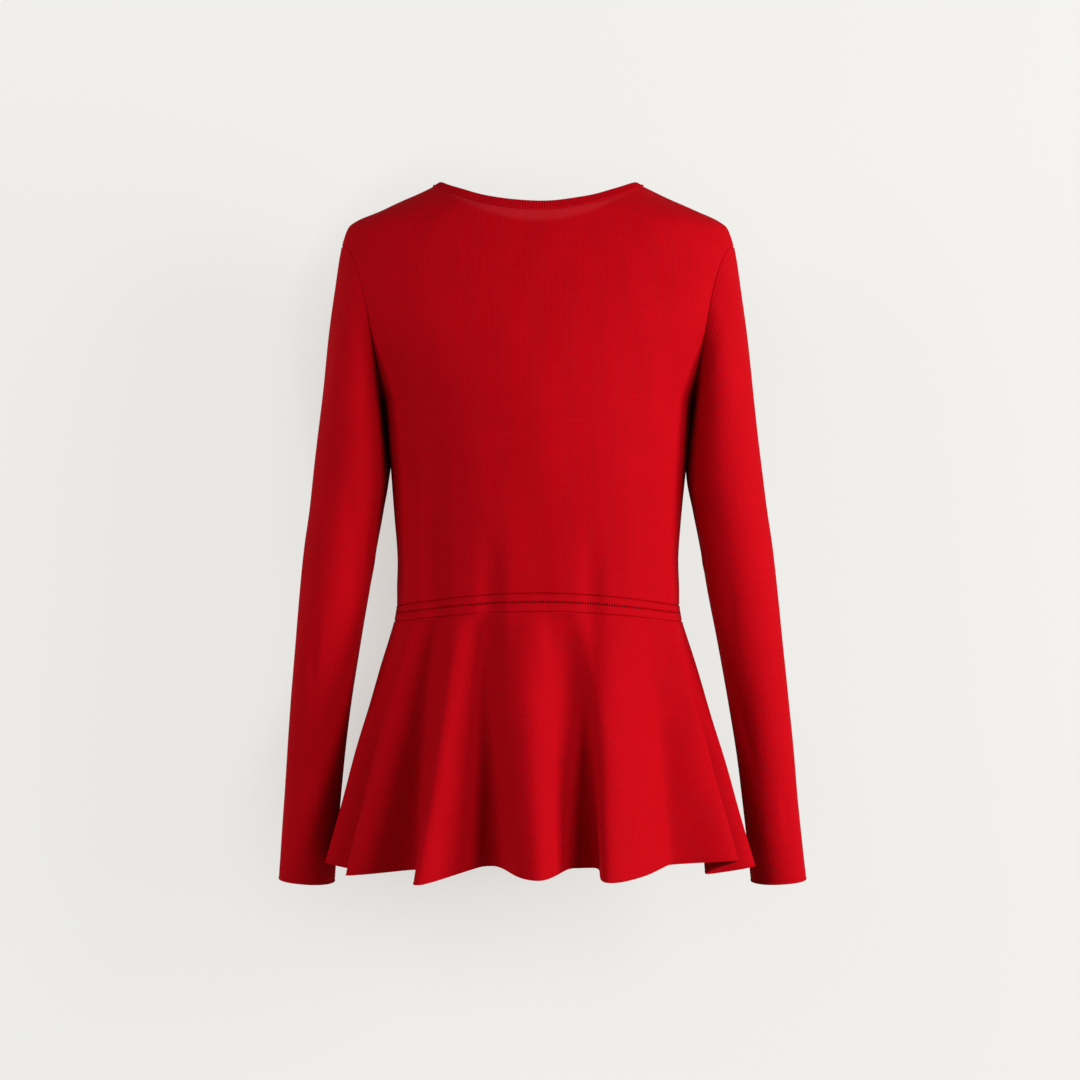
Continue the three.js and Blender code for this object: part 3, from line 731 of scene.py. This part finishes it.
def unevenness(grid):
    """Small waves by place alone, so that pieces that meet stay together. Each run is the same."""
    chance = np.random.default_rng(UNEVEN["seed"])
    waves = np.zeros(grid.shape[:2])
    for _ in range(UNEVEN["waves"]):
        length = np.array([chance.uniform(*span) for span in UNEVEN["lengths"]])
        lean = chance.choice([-1, 1], 3)
        phase = chance.uniform(0, 2 * np.pi)
        waves += np.sin((2 * np.pi * grid * lean / length).sum(axis=-1) + phase)
    return UNEVEN["height"] * waves


# %% [markdown]
# ## Creases of the sleeves
# A knitted sleeve that has been worn keeps soft creases at the elbow. Each one is a shallow
# trough that runs a little aslant, deepest in its middle.

# %% Sleeve creases
CREASES = table("side z angle length slope width depth", [
    (-1, -430, 292, 105, 0.10, 5.5, 1.5),
    (-1, -520, 268, 80, -0.06, 6.0, 0.9),
    (-1, -300, 262, 70, 0.20, 8.0, 1.0),
    (-1, -345, 205, 60, 0.45, 6.0, 1.4),
    (-1, -375, 150, 50, -0.50, 6.0, 1.2),
    (1, -500, 232, 90, -0.12, 5.0, 1.5),
    (1, -395, 240, 90, 0.16, 6.0, 1.0),
    (1, -300, 222, 60, 0.28, 7.0, 1.0),
    (1, -350, 196, 55, 0.50, 6.0, 1.3),
    (1, -385, 140, 55, -0.45, 6.0, 1.2),
    (1, -580, 300, 70, 0.08, 6.0, 0.7),
])
SLEEVE_RADIUS = dict(cuff=30, growth=12, low_z=-640, high_z=-300)
CREASE_LIP = dict(share=0.45, away=1.7)


def crease_depth(name, grid):
    if not name.startswith("sleeve"):
        return 0
    side = 1 if name == "sleeve_right" else -1
    angle = np.degrees(SLEEVE_ANGLE)[None, ::side]
    z = grid[..., 2]
    total = np.zeros(grid.shape[:2])
    for owner, middle, at_angle, length, slope, width, depth in zip(*CREASES.values()):
        if owner != side:
            continue
        grown = smoothstep(middle, SLEEVE_RADIUS["low_z"], SLEEVE_RADIUS["high_z"])
        radius = SLEEVE_RADIUS["cuff"] + SLEEVE_RADIUS["growth"] * grown
        off = (angle - at_angle) * np.pi / 180 * radius - slope * (z - middle)
        end = np.clip(np.abs(z - middle) / (length / 2), 0, 1)
        fade = np.cos(end * np.pi / 2) ** 2
        total += depth * bulge(off, 0, width) * fade
        total -= CREASE_LIP["share"] * depth * bulge(off, -CREASE_LIP["away"] * width, width) * fade
    return total


RIB_ROUNDNESS = 0.75
RIB_FADES = dict(top=(1.0, 2.2), bottom=(0.1, 0.9))
TOP_FOLD = dict(height=0.2, middle=1.3, width=0.7)


def rib_height(name, grid):
    if name != "neckband":
        return 0
    around = np.linspace(0, rib_count, grid.shape[1])[None]
    wave = np.abs(np.sin(np.pi * around)) ** RIB_ROUNDNESS
    away = {edge: edge_distance(grid, edge) for edge in RIB_FADES}
    fade = smoothstep(away["top"], *RIB_FADES["top"]) * smoothstep(away["bottom"], *RIB_FADES["bottom"])
    fold = TOP_FOLD["height"] * bulge(away["top"], TOP_FOLD["middle"], TOP_FOLD["width"])
    return RIB_HEIGHT * wave * fade + fold


def worn_surface(name):
    grid = grids[name]
    height = raise_edges(name, grid) + unevenness(grid) - crease_depth(name, grid)
    height = height + rib_height(name, grid)
    return roll_in(name, grid) + directions[name] * height[..., None]


worn = {name: worn_surface(name) for name in grids}
print("worn surfaces:", len(worn))

# %% [markdown]
# ## From a flat cut to a worn piece
# Each piece starts as a flat grid, like cloth on the cutting table. Its points are then brought
# to their places on the garment, tubes are joined along their seam, and Solidify gives the cloth
# its thickness inwards. The grid keeps a UV map in metres of cloth, so stitches follow the wales.

# %% The cloth builder
CLOTH = 1.3
DOUBLE_RIB = 2.2
SLOPE_SHARE = 0.15
JOINS_WITHIN = 2e-6
SMOOTH_UP_TO = math.radians(55)


def cloth_map(grid):
    """Place on the cloth in metres: across from the middle column, and up from the lower edge."""
    level = grid.copy()
    level[..., 2] *= SLOPE_SHARE
    across = walked_along(level, 1)
    across = across - across[:, across.shape[1] // 2][:, None]
    return np.stack([across, walked_along(grid, 0)], -1) * MM


def faces_in(cells, shape, row, column):
    """The faces of a grid whose lowest row and column are among the given cells."""
    found = []
    for face in shape.faces:
        corners = [corner.index for corner in face.verts]
        if (row[corners].min(), column[corners].min()) in cells:
            found.append(face)
    return found


def sew_piece(name, thickness, holes=()):
    grid, worn_grid = grids[name], worn[name]
    rows, columns = grid.shape[:2]
    bpy.ops.object.select_all(action="DESELECT")
    bpy.ops.mesh.primitive_grid_add(x_subdivisions=columns - 1, y_subdivisions=rows - 1, size=1)
    piece = bpy.context.object
    piece.name = piece.data.name = name + "_cloth"
    mesh = piece.data
    flat = np.empty(3 * len(mesh.vertices))
    mesh.vertices.foreach_get("co", flat)
    flat = flat.reshape(-1, 3)
    column = np.rint((flat[:, 0] + 0.5) * (columns - 1)).astype(int)
    row = np.rint((flat[:, 1] + 0.5) * (rows - 1)).astype(int)
    mesh.vertices.foreach_set("co", (worn_grid[row, column] * MM).ravel())
    loop_vertex = np.empty(len(mesh.loops), int)
    mesh.loops.foreach_get("vertex_index", loop_vertex)
    places = cloth_map(grid)[row, column][loop_vertex]
    mesh.uv_layers[0].data.foreach_set("uv", places.ravel())
    if holes:
        shape = bmesh.new()
        shape.from_mesh(mesh)
        bmesh.ops.delete(shape, geom=faces_in(holes, shape, row, column), context="FACES")
        shape.to_mesh(mesh)
        shape.free()
    bpy.ops.object.mode_set(mode="EDIT")
    bpy.ops.mesh.select_all(action="SELECT")
    bpy.ops.mesh.remove_doubles(threshold=JOINS_WITHIN)
    bpy.ops.object.mode_set(mode="OBJECT")
    bpy.ops.object.modifier_add(type="SOLIDIFY")
    wall = piece.modifiers[-1]
    wall.thickness = thickness * MM
    wall.offset = -1
    wall.use_quality_normals = True
    bpy.ops.object.modifier_apply(modifier=wall.name)
    bpy.ops.object.shade_smooth_by_angle(angle=SMOOTH_UP_TO)
    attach(piece, "root")
    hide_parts(name)
    print(piece.name, len(mesh.polygons), "faces")
    return piece


# %% Sew the pieces
OPEN_CELLS = ((0, 1), (1, 0), (1, 1), (1, 2), (2, 1))
eyelet_faces = {
    (slot_row + up, len(EYELET_COLUMNS) * number + across)
    for number in range(eyelet_count) for up, across in OPEN_CELLS
}
pieces = {name: sew_piece(name, CLOTH) for name in grids if name not in ("neckband", "waistband")}
pieces["neckband"] = sew_piece("neckband", DOUBLE_RIB)
pieces["waistband"] = sew_piece("waistband", CLOTH, eyelet_faces)


# %% [markdown]
# ## What the knit looks like close up
# Jersey shows columns of small V-shaped stitches. At arm's length they melt into fine upright
# lines, with faint level bars where the yarn varies. The peplum is knitted sideways, so its lines
# are level. Both effects are node groups that read the cloth's own map, so they follow each piece.

# %% Node helpers
def new_group(name, inputs, outputs):
    group = bpy.data.node_groups.new(name, "ShaderNodeTree")
    for label, kind, value in inputs:
        socket = group.interface.new_socket(label, in_out="INPUT", socket_type=kind)
        if value is not None:
            socket.default_value = value
    for label in outputs:
        group.interface.new_socket(label, in_out="OUTPUT", socket_type="NodeSocketFloat")
    start = group.nodes.new("NodeGroupInput")
    end = group.nodes.new("NodeGroupOutput")
    return group, start, end


def add_node(tree, kind, settings=(), **inputs):
    """A new node. Each input is a value or a socket to link, and _ stands for a space in its name."""
    node = tree.nodes.new("ShaderNode" + kind)
    for setting, value in dict(settings).items():
        setattr(node, setting, value)
    for label, value in inputs.items():
        feed(tree, node.inputs[label.replace("_", " ")], value)
    return node


def feed(tree, socket, value):
    if hasattr(value, "is_linked"):
        tree.links.new(value, socket)
    elif value is not None:
        socket.default_value = value


def calculate(tree, operation, first, second=None, third=None):
    node = add_node(tree, "Math", dict(operation=operation))
    for socket, value in zip(node.inputs, (first, second, third)):
        feed(tree, socket, value)
    return node.outputs[0]


def mix_colours(tree, share, first, second):
    node = add_node(tree, "Mix", dict(data_type="RGBA"), Factor=share, A=first, B=second)
    return node.outputs["Result"]


def add_noise(tree, vector, scale, detail, roughness=0.55):
    node = add_node(tree, "TexNoise", Scale=scale, Detail=detail, Roughness=roughness, Vector=vector)
    return node.outputs["Fac"]


def stretch(tree, vector, factors):
    node = add_node(tree, "VectorMath", dict(operation="MULTIPLY"))
    feed(tree, node.inputs[0], vector)
    feed(tree, node.inputs[1], factors)
    return node.outputs[0]


# %% Stitches of the jersey
WALE = 0.0017
COURSE = 0.0013


def build_stitches():
    group, start, end = new_group(
        "stitches",
        [("Cloth place", "NodeSocketVector", None), ("Wale", "NodeSocketFloat", WALE),
         ("Course", "NodeSocketFloat", COURSE)],
        ["Height"],
    )
    parts = add_node(group, "SeparateXYZ", Vector=start.outputs["Cloth place"])
    wale = calculate(group, "DIVIDE", parts.outputs[0], start.outputs["Wale"])
    course = calculate(group, "DIVIDE", parts.outputs[1], start.outputs["Course"])
    ridge = calculate(group, "SINE", calculate(group, "MULTIPLY", wale, math.pi))
    ridge = calculate(group, "ABSOLUTE", ridge)
    aslant = calculate(group, "MULTIPLY_ADD", ridge, 0.45, course)
    legs = calculate(group, "SINE", calculate(group, "MULTIPLY", aslant, 2 * math.pi))
    height = calculate(group, "MULTIPLY_ADD", legs, 0.22, ridge)
    group.links.new(height, end.inputs["Height"])
    return group


# %% Variation of the yarn
BARS = (16, 520, 1)
LINES = (420, 12, 1)
CLOUDS = 9
LOOSE_FIBRES = 900


def build_yarn():
    group, start, end = new_group(
        "yarn",
        [("Cloth place", "NodeSocketVector", None), ("Object place", "NodeSocketVector", None)],
        ["Tone", "Fuzz"],
    )
    cloth, place = start.outputs["Cloth place"], start.outputs["Object place"]
    bars = add_noise(group, stretch(group, cloth, BARS), 1, 3, 0.6)
    lines = add_noise(group, stretch(group, cloth, LINES), 1, 2, 0.6)
    cloud = add_noise(group, place, CLOUDS, 3)
    fuzz = add_noise(group, place, LOOSE_FIBRES, 2, 0.7)
    tone = calculate(group, "MULTIPLY_ADD", bars, 0.5, calculate(group, "MULTIPLY", lines, 0.35))
    tone = calculate(group, "MULTIPLY_ADD", cloud, 0.4, tone)
    tone = calculate(group, "MULTIPLY_ADD", fuzz, 0.35, tone)
    group.links.new(calculate(group, "SUBTRACT", tone, 0.3), end.inputs["Tone"])
    group.links.new(calculate(group, "MULTIPLY_ADD", bars, 0.25, fuzz), end.inputs["Fuzz"])
    return group


stitches, yarn = build_stitches(), build_yarn()
print("node groups:", stitches.name, yarn.name)

# %% [markdown]
# ## The red cloth
# The dye is a deep, slightly cool red. Knit is matt, with a soft sheen where loose fibres catch
# the light at the silhouette. Colour and bump come from the groups. Roughness and sheen are set on
# the shader itself, because they are the same all over.

# %% Red knit
DEEP_RED = (0.24, 0.0002, 0.0022, 1)
CLEAR_RED = (0.38, 0.0006, 0.0046, 1)
PALE_RED = (0.38, 0.013, 0.019, 1)
STITCH_DEPTH = 0.0004
FIBRES = {
    "Roughness": 0.82,
    "Specular IOR Level": 0.03,
    "Sheen Weight": 0.05,
    "Sheen Roughness": 0.35,
    "Sheen Tint": (1, 0.06, 0.08, 1),
}


def turned_map(tree, cloth):
    """The cloth's map turned by a quarter, for a piece that is knitted sideways."""
    parts = add_node(tree, "SeparateXYZ", Vector=cloth).outputs
    return add_node(tree, "CombineXYZ", X=parts["Y"], Y=parts["X"]).outputs[0]


def red_knit(name, wale=WALE, course=COURSE, bump=0.35, half_moon=False, sideways=False):
    material = bpy.data.materials.new(name)
    material.use_nodes = True
    tree = material.node_tree
    shader = tree.nodes["Principled BSDF"]
    cloth = add_node(tree, "UVMap").outputs[0]
    place = add_node(tree, "TexCoord").outputs["Object"]
    knit_map = turned_map(tree, cloth) if sideways else cloth
    knit = add_node(tree, "Group", dict(node_tree=stitches), Cloth_place=knit_map, Wale=wale, Course=course)
    spun = add_node(tree, "Group", dict(node_tree=yarn), Cloth_place=cloth, Object_place=place)
    # The stitch height also darkens the colour a little where the stitch is low: painted shade between the
    # stitches.
    tone = calculate(tree, "MULTIPLY_ADD", knit.outputs["Height"], 0.18, spun.outputs["Tone"])
    colour = mix_colours(tree, tone, DEEP_RED, CLEAR_RED)
    if half_moon:
        colour = add_half_moon(tree, place, colour)
    raised = calculate(tree, "MULTIPLY_ADD", spun.outputs["Fuzz"], 0.5, knit.outputs["Height"])
    relief = add_node(tree, "Bump", Strength=bump, Distance=STITCH_DEPTH, Height=raised)
    feed(tree, shader.inputs["Base Color"], colour)
    feed(tree, shader.inputs["Normal"], relief.outputs["Normal"])
    for label, value in FIBRES.items():
        shader.inputs[label].default_value = value
    return material


# %% [markdown]
# Under the back neck seam the colour is a little paler in a crescent. The mask is a curve below the
# seam, in the garment's own coordinates.

# %% Half-moon under the neck
HALF_MOON_LOW_Z = -0.0395
HALF_MOON_HALF_WIDTH = 0.086
HALF_MOON_END_Z = -0.0105
HALF_MOON_EDGE = (-0.002, 0.0035)
HALF_MOON_STRENGTH = 0.45


def add_half_moon(tree, place, colour):
    x, y, z = add_node(tree, "SeparateXYZ", Vector=place).outputs
    steep = (HALF_MOON_END_Z - HALF_MOON_LOW_Z) / HALF_MOON_HALF_WIDTH**2
    low_edge = calculate(tree, "MULTIPLY_ADD", calculate(tree, "MULTIPLY", x, x), steep, HALF_MOON_LOW_Z)
    above = calculate(tree, "SUBTRACT", z, low_edge)
    below, full = HALF_MOON_EDGE
    soft = add_node(tree, "MapRange", dict(interpolation_type="SMOOTHSTEP"),
                    Value=above, From_Min=below, From_Max=full)
    behind = calculate(tree, "LESS_THAN", y, 0)
    mask = calculate(tree, "MULTIPLY", soft.outputs[0], behind)
    mask = calculate(tree, "MULTIPLY", mask, HALF_MOON_STRENGTH)
    return mix_colours(tree, mask, colour, PALE_RED)


# %% Dress the pieces
knit = red_knit("red_knit")
knit_back = red_knit("red_knit_back", half_moon=True)
knit_rib = red_knit("red_rib", wale=0.0012, course=0.0012, bump=0.3)
knit_band = red_knit("red_eyelet_knit", wale=0.0012, course=0.0012, bump=0.3)
knit_peplum = red_knit("red_knit_sideways", wale=0.0019, bump=0.45, sideways=True)
LOOKS = {
    "bodice_back": (knit_back, "knit"),
    "neckband": (knit_rib, "rib"),
    "waistband": (knit_band, "eyelet_knit"),
    "peplum_back": (knit_peplum, "knit"),
    "peplum_front": (knit_peplum, "knit"),
}
for name, piece in pieces.items():
    look, slot = LOOKS.get(name, (knit, "knit"))
    piece.data.materials.clear()
    piece.data.materials.append(look)
print("materials:", len(bpy.data.materials))


# %% [markdown]
# The neckband's area counts the cloth in its ribs by a guessed factor.


# %% [markdown]
# ## Stage and light
# The garment hangs just in front of a plain pale backdrop that curves into a floor. The main soft
# light comes from the right, almost level, with one a little above it, and two weaker ones come
# from the left. So the right side glows, and the left side and the valleys fall into deep red.
# The backdrop is shaded where the garment is near it, more on the left. It can't be seen from behind.

# %% Backdrop
WALL_Y = 0.215
FLOOR_Z = -1.6
SWEEP = 0.45
FLOOR_FRONT_Y = -6.0
WALL_TOP_Z = 4.0
STAGE_HALF_WIDTH = 5.0
PAPER = {"Base Color": (0.08, 0.078, 0.076, 1), "Roughness": 0.95, "Specular IOR Level": 0}
PAPER_COLOUR = (0.765, 0.758, 0.735, 1)
SHADE_LEFT = (0.20, 0.10, 0.09, 1)
SHADE_RIGHT = (0.60, 0.58, 0.57, 1)
SHADE_TURNS_WITHIN = 0.12
SHADE_REACH = 0.19
SHADE_SAMPLES = 16
PAPER_GLOW = 0.5
PAPER_GLOW_SEEN = 0.5


def build_backdrop():
    bpy.ops.mesh.primitive_plane_add(size=1)
    backdrop = bpy.context.object
    backdrop.name = "backdrop"
    turn = np.linspace(0, np.pi / 2, 13)
    profile = [(FLOOR_FRONT_Y, FLOOR_Z)]
    profile += [(WALL_Y - SWEEP + SWEEP * math.sin(a), FLOOR_Z + SWEEP - SWEEP * math.cos(a)) for a in turn]
    profile += [(WALL_Y, WALL_TOP_Z)]
    corners = [(x, y, z) for y, z in profile for x in (-STAGE_HALF_WIDTH, STAGE_HALF_WIDTH)]
    faces = [(2 * i, 2 * i + 1, 2 * i + 3, 2 * i + 2) for i in range(len(profile) - 1)]
    backdrop.data.clear_geometry()
    backdrop.data.from_pydata(corners, [], faces)
    backdrop.data.update()
    for face in backdrop.data.polygons:
        face.use_smooth = True
    return backdrop


def build_paper():
    paper = bpy.data.materials.new("backdrop_paper")
    paper.use_nodes = True
    tree = paper.node_tree
    shader = tree.nodes["Principled BSDF"]
    for label, value in PAPER.items():
        shader.inputs[label].default_value = value
    near = add_node(tree, "AmbientOcclusion", dict(samples=SHADE_SAMPLES), Distance=SHADE_REACH)
    where = add_node(tree, "SeparateXYZ", Vector=add_node(tree, "TexCoord").outputs["Object"])
    aside = add_node(tree, "MapRange", Value=where.outputs["X"],
                     From_Min=-SHADE_TURNS_WITHIN, From_Max=SHADE_TURNS_WITHIN)
    dark = mix_colours(tree, aside.outputs[0], SHADE_LEFT, SHADE_RIGHT)
    shade = mix_colours(tree, near.outputs["AO"], dark, PAPER_COLOUR)
    to_camera = add_node(tree, "LightPath").outputs["Is Camera Ray"]
    strength = calculate(tree, "MULTIPLY_ADD", to_camera, PAPER_GLOW_SEEN, PAPER_GLOW)
    feed(tree, shader.inputs["Emission Color"], shade)
    feed(tree, shader.inputs["Emission Strength"], strength)
    sides = add_node(tree, "MixShader")
    behind = add_node(tree, "NewGeometry").outputs["Backfacing"]
    clear = add_node(tree, "BsdfTransparent").outputs[0]
    for socket, value in zip(sides.inputs, (behind, shader.outputs[0], clear)):
        feed(tree, socket, value)
    feed(tree, tree.nodes["Material Output"].inputs["Surface"], sides.outputs[0])
    return paper


backdrop = build_backdrop()
backdrop.data.materials.clear()
backdrop.data.materials.append(build_paper())
print("backdrop at y =", WALL_Y)


# %% Lights
LIGHT_AIM = (0, 0, -0.35)
LIGHT_DISTANCE = 2.6
LIGHT_SIZE = 0.8
WORLD_COLOUR = (1.0, 0.99, 0.97, 1)
WORLD_LIGHT = 0.03
WORLD_SEEN = 0.86


def add_light(name, aside, above, power):
    """A round soft light, placed by its angles from the camera's side of the garment."""
    aside, above = math.radians(aside), math.radians(above)
    level, height = LIGHT_DISTANCE * math.cos(above), LIGHT_DISTANCE * math.sin(above)
    place = (level * math.sin(aside), -level * math.cos(aside), LIGHT_AIM[2] + height)
    bpy.ops.object.light_add(type="AREA", location=place)
    light = bpy.context.object
    light.name = name
    light.data.shape = "DISK"
    light.data.size = LIGHT_SIZE
    light.data.energy = power
    light.rotation_euler = (math.pi / 2 - above, 0, aside)


add_light("key", aside=67, above=3, power=68)
add_light("upper key", aside=46, above=16, power=50)
add_light("left", aside=-66, above=7, power=26)
add_light("upper left", aside=-44, above=24, power=19)
world = bpy.data.worlds.new("studio") if not bpy.data.worlds else bpy.data.worlds[0]
bpy.context.scene.world = world
world.use_nodes = True
sky = world.node_tree
room = sky.nodes["Background"]
room.inputs["Color"].default_value = WORLD_COLOUR
to_camera = add_node(sky, "LightPath").outputs["Is Camera Ray"]
glow = add_node(sky, "MapRange", Value=to_camera, To_Min=WORLD_LIGHT, To_Max=WORLD_SEEN)
sky.links.new(glow.outputs[0], room.inputs["Strength"])
bpy.context.scene.view_settings.view_transform = "Standard"
print("lights set")
